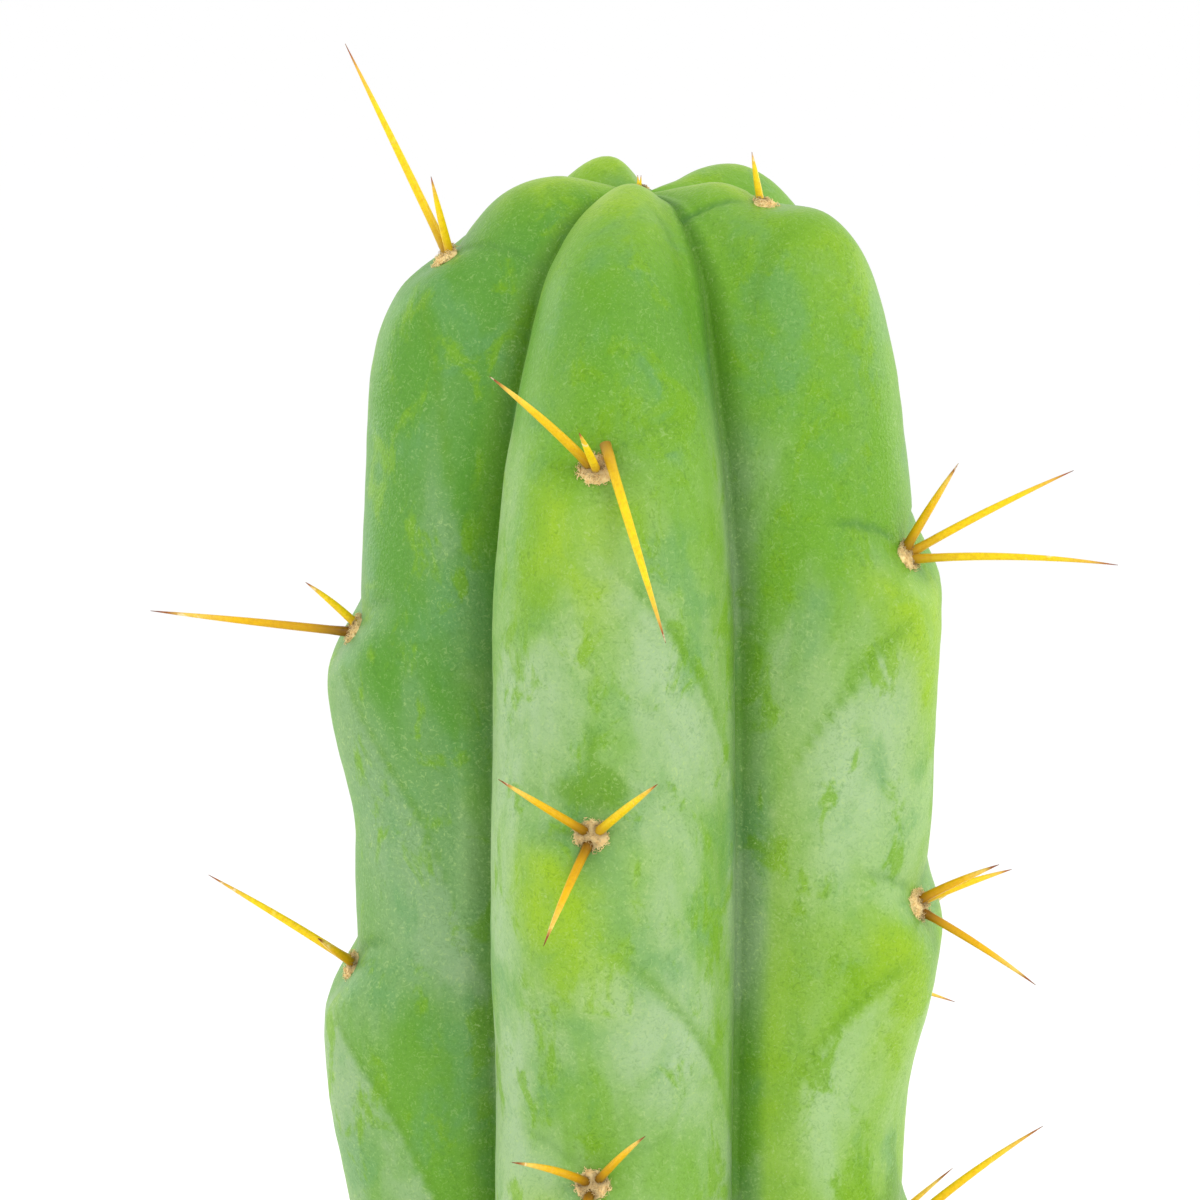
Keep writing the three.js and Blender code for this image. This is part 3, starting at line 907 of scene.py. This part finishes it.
class Surface:
    """A material with one principled shader, and short calls for the nodes that feed it."""

    def __init__(self, name):
        self.material = bpy.data.materials.new(name)
        self.material.use_nodes = True
        self.tree = self.material.node_tree
        self.tree.nodes.clear()
        self.shader = add_node(self.tree, "ShaderNodeBsdfPrincipled")
        output = add_node(self.tree, "ShaderNodeOutputMaterial")
        self.tree.links.new(self.shader.outputs[0], output.inputs["Surface"])
        self.place = add_node(self.tree, "ShaderNodeTexCoord").outputs["Object"]

    def set(self, **values):
        for key, value in values.items():
            self.shader.inputs[key.replace("_", " ")].default_value = value

    def link(self, key, socket):
        self.tree.links.new(socket, self.shader.inputs[key])

    def stretched(self, x, y, z):
        node = add_node(self.tree, "ShaderNodeMapping", {"Vector": self.place})
        node.inputs["Scale"].default_value = (x, y, z)
        return node.outputs[0]

    def noise(self, size, detail, rough, twist=0.0, place=None):
        """Noise whose features are about size millimetres across."""
        inputs = {
            "Vector": place or self.place,
            "Scale": 1 / (size * MM),
            "Detail": detail,
            "Roughness": rough,
            "Distortion": twist,
        }
        return add_node(self.tree, "ShaderNodeTexNoise", inputs).outputs[0]

    def cells(self, size):
        inputs = {"Vector": self.place, "Scale": 1 / (size * MM)}
        return add_node(self.tree, "ShaderNodeTexVoronoi", inputs).outputs["Distance"]

    def ramp(self, value, low, high, start=0.0, end=1.0):
        """A smooth change from start to end while the value goes from low to high."""
        inputs = {"Value": value, "From Min": low, "From Max": high, "To Min": start, "To Max": end}
        return add_node(self.tree, "ShaderNodeMapRange", inputs, interpolation_type="SMOOTHSTEP").outputs[0]

    def math(self, operation, a, b):
        return add_node(self.tree, "ShaderNodeMath", {0: a, 1: b}, operation=operation).outputs[0]

    def mix(self, factor, a, b):
        """Colour a where the factor is 0 and b where it is 1; either is a socket or a plain colour."""
        node = add_node(self.tree, "ShaderNodeMix", data_type="RGBA")
        for index, value in ((0, factor), (6, a), (7, b)):
            if isinstance(value, bpy.types.NodeSocket):
                self.tree.links.new(value, node.inputs[index])
            elif index == 0:
                node.inputs[index].default_value = value
            else:
                node.inputs[index].default_value = (*value, 1)
        return node.outputs[2]

    def times(self, a, b):
        return self.math("MULTIPLY", a, b)

    def value(self, name):
        """The value of an attribute that holds one number."""
        return add_node(self.tree, "ShaderNodeAttribute", attribute_name=name).outputs["Fac"]

    def channels(self, name):
        """The four values of a colour attribute."""
        node = add_node(self.tree, "ShaderNodeAttribute", attribute_name=name)
        split = add_node(self.tree, "ShaderNodeSeparateColor", {"Color": node.outputs["Color"]})
        return [*split.outputs, node.outputs["Alpha"]]

    def colours(self, value, stops):
        node = add_node(self.tree, "ShaderNodeValToRGB", {"Fac": value})
        marks = node.color_ramp.elements
        for index, (at, colour) in enumerate(stops):
            mark = marks[index] if index < 2 else marks.new(at)
            mark.position = at
            mark.color = (*colour, 1)
        return node.outputs["Color"]

    def bump(self, height, distance, strength, under=None):
        inputs = {"Height": height, "Distance": distance * MM, "Strength": strength}
        if under is not None:
            inputs["Normal"] = under
        return add_node(self.tree, "ShaderNodeBump", inputs).outputs[0]


def flesh_and_bloom(s, tone, cover_and_highlight, mist, dabs):
    """Green flesh under a pale bloom, with teal where the bloom is thin and dabs of brighter sap."""
    flesh = s.colours(tone, [
        (0.0, (0.085, 0.26, 0.022)),
        (0.5, (0.135, 0.325, 0.02)),
        (0.9, (0.19, 0.38, 0.012)),
    ])
    bloom = s.colours(tone, [
        (0.0, (0.19, 0.335, 0.145)),
        (0.5, (0.30, 0.435, 0.23)),
        (0.9, (0.34, 0.50, 0.24)),
    ])
    teal = (0.115, 0.29, 0.095)
    sap = (0.15, 0.335, 0.006)
    colour = s.mix(s.ramp(cover_and_highlight, 0.0, 1.0), flesh, bloom)
    colour = s.mix(s.ramp(mist, 0.48, 0.66, 0.0, 0.6), colour, teal)
    return s.mix(s.times(s.ramp(dabs, 0.53, 0.64), 0.75), colour, sap)


def skin_grain(s, colour, cover_and_highlight, dabs, grain, papillae):
    """Darker pores, pale wiggling flecks of wax and fine papillae."""
    pore = (0.045, 0.15, 0.012)
    wax = (0.37, 0.52, 0.19)
    pores = s.times(s.ramp(grain, 0.34, 0.5, 0.34, 0.0), s.ramp(dabs, 0.35, 0.6, 0.5, 1.0))
    flecks = s.times(s.ramp(grain, 0.54, 0.68, 0.0, 0.6), s.ramp(cover_and_highlight, 0.0, 0.8, 0.45, 1.0))
    colour = s.mix(pores, colour, pore)
    colour = s.mix(flecks, colour, wax)
    return s.mix(s.ramp(papillae, 0.05, 0.3, 0.15, 0.0), colour, wax)


def skin_material():
    s = Surface("glaucous_skin")
    lime, panel_and_highlight, seams, spade = s.channels("tints")
    cork, young, ridge, brow = s.channels("ages")
    # The green's depth, with the painted light and shade of whole ribs in it
    tone = s.value("tone")
    lime_green = (0.27, 0.45, 0.012)
    spade_green = (0.115, 0.275, 0.018)
    seam_green = (0.10, 0.255, 0.012)
    lit_flank_green = (0.22, 0.40, 0.02)
    furrow_shade_green = (0.045, 0.15, 0.012)
    brow_shade_green = (0.05, 0.17, 0.06)

    clouds = s.noise(17, 4, 0.55, 0.4, s.stretched(1, 1, 0.4))
    dabs = s.noise(6, 5, 0.6, 0.5, s.stretched(1, 1, 0.65))
    mist = s.noise(11, 4, 0.6, 0.3, s.stretched(1, 1, 0.8))
    grain = s.noise(0.7, 4, 0.7, 1.6)
    papillae = s.cells(0.5)

    # How much bloom covers the flesh: most on the panels and on the painted highlight along the front rib's
    # left edge, least on young skin
    cover_and_highlight = s.times(panel_and_highlight, s.ramp(mist, 0.36, 0.6, 0.75, 0.4))
    cover_and_highlight = s.math("ADD", cover_and_highlight, s.ramp(clouds, 0.36, 0.66, 0.0, 0.6))
    cover_and_highlight = s.times(cover_and_highlight, s.ramp(young, 0.0, 1.0, 1.0, 0.3))
    colour = flesh_and_bloom(s, tone, cover_and_highlight, mist, dabs)
    colour = s.mix(s.times(lime, s.ramp(dabs, 0.3, 0.62, 0.45, 0.95)), colour, lime_green)
    colour = s.mix(s.times(spade, 0.75), colour, spade_green)
    # The seams' darker green also paints shade into the brow creases
    colour = s.mix(s.times(seams, 0.6), colour, seam_green)
    # Painted light: the flanks beside the furrows of the lighter ribs are brightened towards lime-olive
    lit_flank = s.times(s.ramp(ridge, 0.04, 0.5, 0.7, 0.0), s.ramp(tone, 0.5, 0.8))
    colour = s.mix(lit_flank, colour, lit_flank_green)
    # Painted shade: the bottoms of the furrows are darkened
    colour = s.mix(s.ramp(ridge, 0.0, 0.07, 0.45, 0.0), colour, furrow_shade_green)
    colour = skin_grain(s, colour, cover_and_highlight, dabs, grain, papillae)
    # Painted shade in the brow creases
    colour = s.mix(s.times(brow, 0.55), colour, brow_shade_green)
    bark = s.colours(s.noise(3.5, 6, 0.7, 0.4, s.stretched(0.6, 0.6, 2.4)), [
        (0.3, (0.13, 0.085, 0.045)),
        (0.7, (0.36, 0.29, 0.18)),
    ])
    s.link("Base Color", s.mix(cork, colour, bark))
    s.link("Roughness", s.ramp(cover_and_highlight, 0.0, 1.0, 0.40, 0.6))
    relief = s.bump(papillae, 0.08, 0.5)
    relief = s.bump(grain, 0.12, 0.5, relief)
    relief = s.bump(dabs, 0.3, 0.35, relief)
    s.link("Normal", relief)
    s.set(IOR=1.42, Specular_IOR_Level=0.22)
    s.set(Subsurface_Weight=0.1, Subsurface_Scale=0.003, Subsurface_Radius=(0.7, 1.0, 0.2))
    s.set(Sheen_Weight=0.07, Sheen_Roughness=0.4, Sheen_Tint=(0.85, 1.0, 0.6, 1))
    return s.material


def spine_material():
    s = Surface("golden_spine")
    along = s.value("along")
    tone = s.value("tone")
    age = s.value("age")
    amber = s.colours(along, [
        (0.0, (0.04, 0.015, 0.004)),
        (0.09, (0.17, 0.08, 0.003)),
        (0.24, (0.54, 0.28, 0.003)),
        (0.60, (0.80, 0.46, 0.004)),
        (0.84, (0.80, 0.56, 0.12)),
        (0.92, (0.24, 0.065, 0.025)),
        (1.0, (0.09, 0.02, 0.012)),
    ])
    yellow = s.colours(along, [
        (0.0, (0.34, 0.20, 0.03)),
        (0.09, (0.58, 0.36, 0.015)),
        (0.28, (0.82, 0.58, 0.005)),
        (0.70, (0.87, 0.63, 0.008)),
        (0.88, (0.74, 0.45, 0.06)),
        (0.95, (0.30, 0.08, 0.03)),
        (1.0, (0.10, 0.025, 0.015)),
    ])
    colour = s.mix(s.ramp(tone, 0.2, 0.9), amber, yellow)
    streaks = s.noise(0.5, 4, 0.6)
    flakes = s.noise(2.4, 3, 0.6, 0.6)
    colour = s.mix(s.ramp(streaks, 0.35, 0.75, 0.0, 0.35), colour, (0.46, 0.19, 0.006))
    waxy = s.times(s.ramp(flakes, 0.60, 0.68, 0.0, 0.5), s.ramp(along, 0.5, 0.7))
    colour = s.mix(waxy, colour, (0.88, 0.78, 0.56))
    weathered = s.mix(s.ramp(flakes, 0.4, 0.6), (0.24, 0.20, 0.16), (0.48, 0.42, 0.35))
    colour = s.mix(s.times(age, 0.75), colour, weathered)
    s.link("Base Color", colour)
    s.link("Roughness", s.ramp(flakes, 0.4, 0.7, 0.32, 0.5))
    s.link("Normal", s.bump(streaks, 0.04, 0.6))
    s.set(IOR=1.45, Specular_IOR_Level=0.22, Coat_Weight=0.03, Coat_Roughness=0.2)
    s.set(Subsurface_Weight=0.1, Subsurface_Scale=0.001, Subsurface_Radius=(1.0, 0.6, 0.1))
    return s.material


def felt_material():
    s = Surface("areole_felt")
    tone = s.value("tone")
    dark = s.value("dark")
    age = s.value("age")
    wool = s.noise(0.5, 4, 0.7)
    tan = s.mix(s.ramp(wool, 0.3, 0.7), (0.98, 0.66, 0.26), (1.0, 0.82, 0.42))
    colour = s.mix(s.times(tone, 0.6), tan, (1.0, 0.80, 0.44))
    colour = s.mix(s.times(dark, 0.95), colour, (0.045, 0.018, 0.008))
    colour = s.mix(s.times(age, 0.6), colour, (0.20, 0.17, 0.14))
    s.link("Base Color", colour)
    s.link("Normal", s.bump(wool, 0.05, 0.5))
    s.set(Roughness=0.95, Specular_IOR_Level=0.1)
    s.set(Sheen_Weight=0.3, Sheen_Roughness=0.5, Sheen_Tint=(1.0, 0.82, 0.5, 1))
    return s.material


def clay_material():
    s = Surface("terracotta")
    clouds = s.noise(45, 4, 0.5)
    grain = s.noise(0.9, 4, 0.7)
    pits = s.cells(2.6)
    rings = s.noise(6, 3, 0.5, 0.0, s.stretched(0.12, 0.12, 2.4))
    colour = s.mix(s.ramp(clouds, 0.3, 0.7), (0.36, 0.115, 0.045), (0.46, 0.165, 0.07))
    colour = s.mix(s.ramp(rings, 0.35, 0.7, 0.0, 0.3), colour, (0.30, 0.09, 0.035))
    colour = s.mix(s.ramp(grain, 0.3, 0.75, 0.0, 0.3), colour, (0.52, 0.23, 0.12))
    # Pale salts near the foot and round the rim
    height = add_node(s.tree, "ShaderNodeSeparateXYZ", {"Vector": s.place}).outputs[2]
    low = s.ramp(height, 0.0, 0.06, 0.9, 0.0)
    high = s.ramp(height, 0.125, 0.165, 0.0, 0.55)
    salts = s.ramp(s.noise(24, 7, 0.72, 0.15), 0.46, 0.66)
    bloom = s.times(s.math("MAXIMUM", low, high), salts)
    colour = s.mix(s.times(bloom, 0.45), colour, (0.62, 0.48, 0.38))
    s.link("Base Color", colour)
    s.link("Roughness", s.ramp(grain, 0.3, 0.7, 0.78, 0.95))
    relief = s.bump(grain, 0.16, 0.5)
    relief = s.bump(rings, 0.4, 0.35, relief)
    relief = s.bump(s.ramp(pits, 0.05, 0.2), 0.25, 0.35, relief)
    s.link("Normal", relief)
    return s.material


def soil_material():
    s = Surface("potting_mix")
    crumbs = s.noise(2.2, 6, 0.7, 0.4)
    fibres = s.noise(7, 4, 0.6, 0.9)
    colour = s.mix(s.ramp(crumbs, 0.3, 0.7), (0.035, 0.022, 0.014), (0.15, 0.10, 0.065))
    colour = s.mix(s.ramp(fibres, 0.58, 0.72, 0.0, 0.6), colour, (0.24, 0.16, 0.09))
    s.link("Base Color", colour)
    s.set(Roughness=0.97)
    s.link("Normal", s.bump(crumbs, 1.4, 0.9))
    return s.material


def grit_material():
    s = Surface("mineral_grit")
    tone = s.value("tone")
    stone = s.colours(tone, [
        (0.0, (0.10, 0.07, 0.055)),
        (0.22, (0.23, 0.11, 0.07)),
        (0.42, (0.30, 0.22, 0.15)),
        (0.62, (0.42, 0.36, 0.29)),
        (0.82, (0.58, 0.52, 0.44)),
        (1.0, (0.70, 0.66, 0.58)),
    ])
    grain = s.noise(0.7, 5, 0.7)
    colour = s.mix(s.ramp(grain, 0.3, 0.7, 0.0, 0.45), stone, (0.12, 0.09, 0.07))
    s.link("Base Color", colour)
    s.set(Roughness=0.93)
    s.link("Normal", s.bump(grain, 0.3, 0.8))
    return s.material


def floor_material():
    s = Surface("studio_floor")
    s.set(Base_Color=(0.98, 0.98, 0.98, 1), Roughness=1.0)
    return s.material


# ---- Stage, light and camera ----

def make_floor():
    turns = 96
    angle = np.arange(turns) * 2 * math.pi / turns
    points = np.stack([np.cos(angle), np.sin(angle), np.zeros(turns)], axis=-1) * FLOOR_REACH
    floor = mesh_object("floor", points, [tuple(range(turns))], [floor_material()], smooth=False)


def make_world():
    world = bpy.data.worlds.new("studio")
    bpy.context.scene.world = world
    world.use_nodes = True
    background = world.node_tree.nodes["Background"]
    background.inputs["Color"].default_value = (1, 1, 1, 1)
    background.inputs["Strength"].default_value = 1.02


def aim(thing, target, azimuth, lift, distance):
    """Puts a light or the camera at a distance from its target, facing it."""
    back = Vector(direction(math.radians(azimuth), math.radians(lift)))
    thing.location = Vector(target) * MM + back * (distance * MM)
    thing.rotation_mode = "QUATERNION"
    thing.rotation_quaternion = (-back).to_track_quat("-Z", "Y")
    bpy.context.scene.collection.objects.link(thing)


def add_light(name, azimuth, lift, distance, size, power, colour):
    """A round soft light that faces the middle of the stem."""
    light = bpy.data.lights.new(name, "AREA")
    light.shape = "DISK"
    light.size = size * MM
    light.energy = power
    light.color = colour
    lamp = bpy.data.objects.new(name, light)
    lamp.visible_camera = False
    aim(lamp, (0, 0, (SOIL_LEVEL + CROWN_TOP) / 2), azimuth, lift, distance)


def make_lights():
    add_light("key", 38, 38, 1600, 1000, 9, (1.0, 0.99, 0.94))
    add_light("edge_right", 122, 15, 1500, 800, 6.5, (1.0, 1.0, 0.78))
    add_light("fill_left", -65, 15, 1600, 1000, 4.5, (1.0, 1.0, 0.97))
    add_light("edge_left", -128, 15, 1500, 800, 6, (0.96, 1.0, 0.92))


def make_camera():
    data = bpy.data.cameras.new("camera")
    data.sensor_width = 36
    data.lens = data.sensor_width / 2 / math.tan(math.radians(VIEW_ANGLE / 2))
    camera = bpy.data.objects.new("camera", data)
    aim(camera, VIEW_TARGET, 0, VIEW_LIFT, VIEW_DISTANCE)
    bpy.context.scene.camera = camera


# ---- Build ----

bpy.context.scene.view_settings.view_transform = "Standard"
make_stem(skin_material())
areole_materials = [spine_material(), felt_material()]
for rib_index in range(len(RIBS)):
    for areole_index, seat_arc in enumerate(areole_arcs(rib_index)):
        make_cluster(rib_index, areole_index + 1, seat_arc, areole_materials)
make_pot(clay_material())
make_soil(soil_material())
make_grit(grit_material())
make_floor()
make_world()
make_lights()
make_camera()
